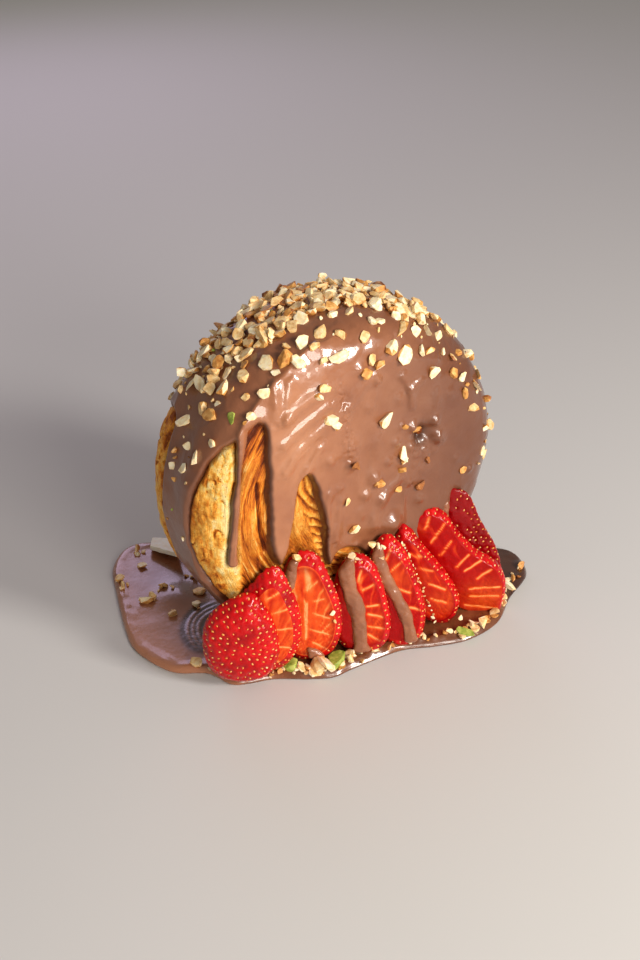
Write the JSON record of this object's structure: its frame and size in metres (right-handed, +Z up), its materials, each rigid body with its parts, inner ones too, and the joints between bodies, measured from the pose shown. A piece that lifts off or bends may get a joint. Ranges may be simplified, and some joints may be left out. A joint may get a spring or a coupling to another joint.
{
  "type": "croissant roll",
  "caption": "Round coiled croissant roll stood on its rim, coated in milk chocolate and chopped hazelnuts, with a fan of strawberry slices on a pool of sauce.",
  "frame": {"origin": "middle of the whole footprint, on the surface that the pool lies on", "axes": "+X across the roll's round face, to the right as seen from the front, +Y along the roll's axis from the strawberry side to the back, +Z up"},
  "size_m": [0.136, 0.1098, 0.1118],
  "materials": {
    "crust": "baked flaky crust",
    "milk_chocolate": "glossy poured chocolate",
    "chopped_nuts": "dry chopped hazelnuts",
    "pistachio": "dry chopped pistachio",
    "sauce": "wet glossy chocolate sauce",
    "strawberry": "wet fruit",
    "seeds": "small dry seeds",
    "white_chocolate": "satin"
  },
  "bodies": {
    "root": {"croissant": "crust", "chocolate_coat": "milk_chocolate", "sauce_pool": "sauce", "strawberry_slice_1": "strawberry", "strawberry_slice_2": "strawberry", "strawberry_slice_3": "strawberry", "strawberry_slice_4": "strawberry", "strawberry_slice_5": "strawberry", "strawberry_slice_6": "strawberry", "strawberry_slice_7": "strawberry", "strawberry_slice_8": "strawberry", "white_flake": "white_chocolate"}
  },
  "joints": []
}
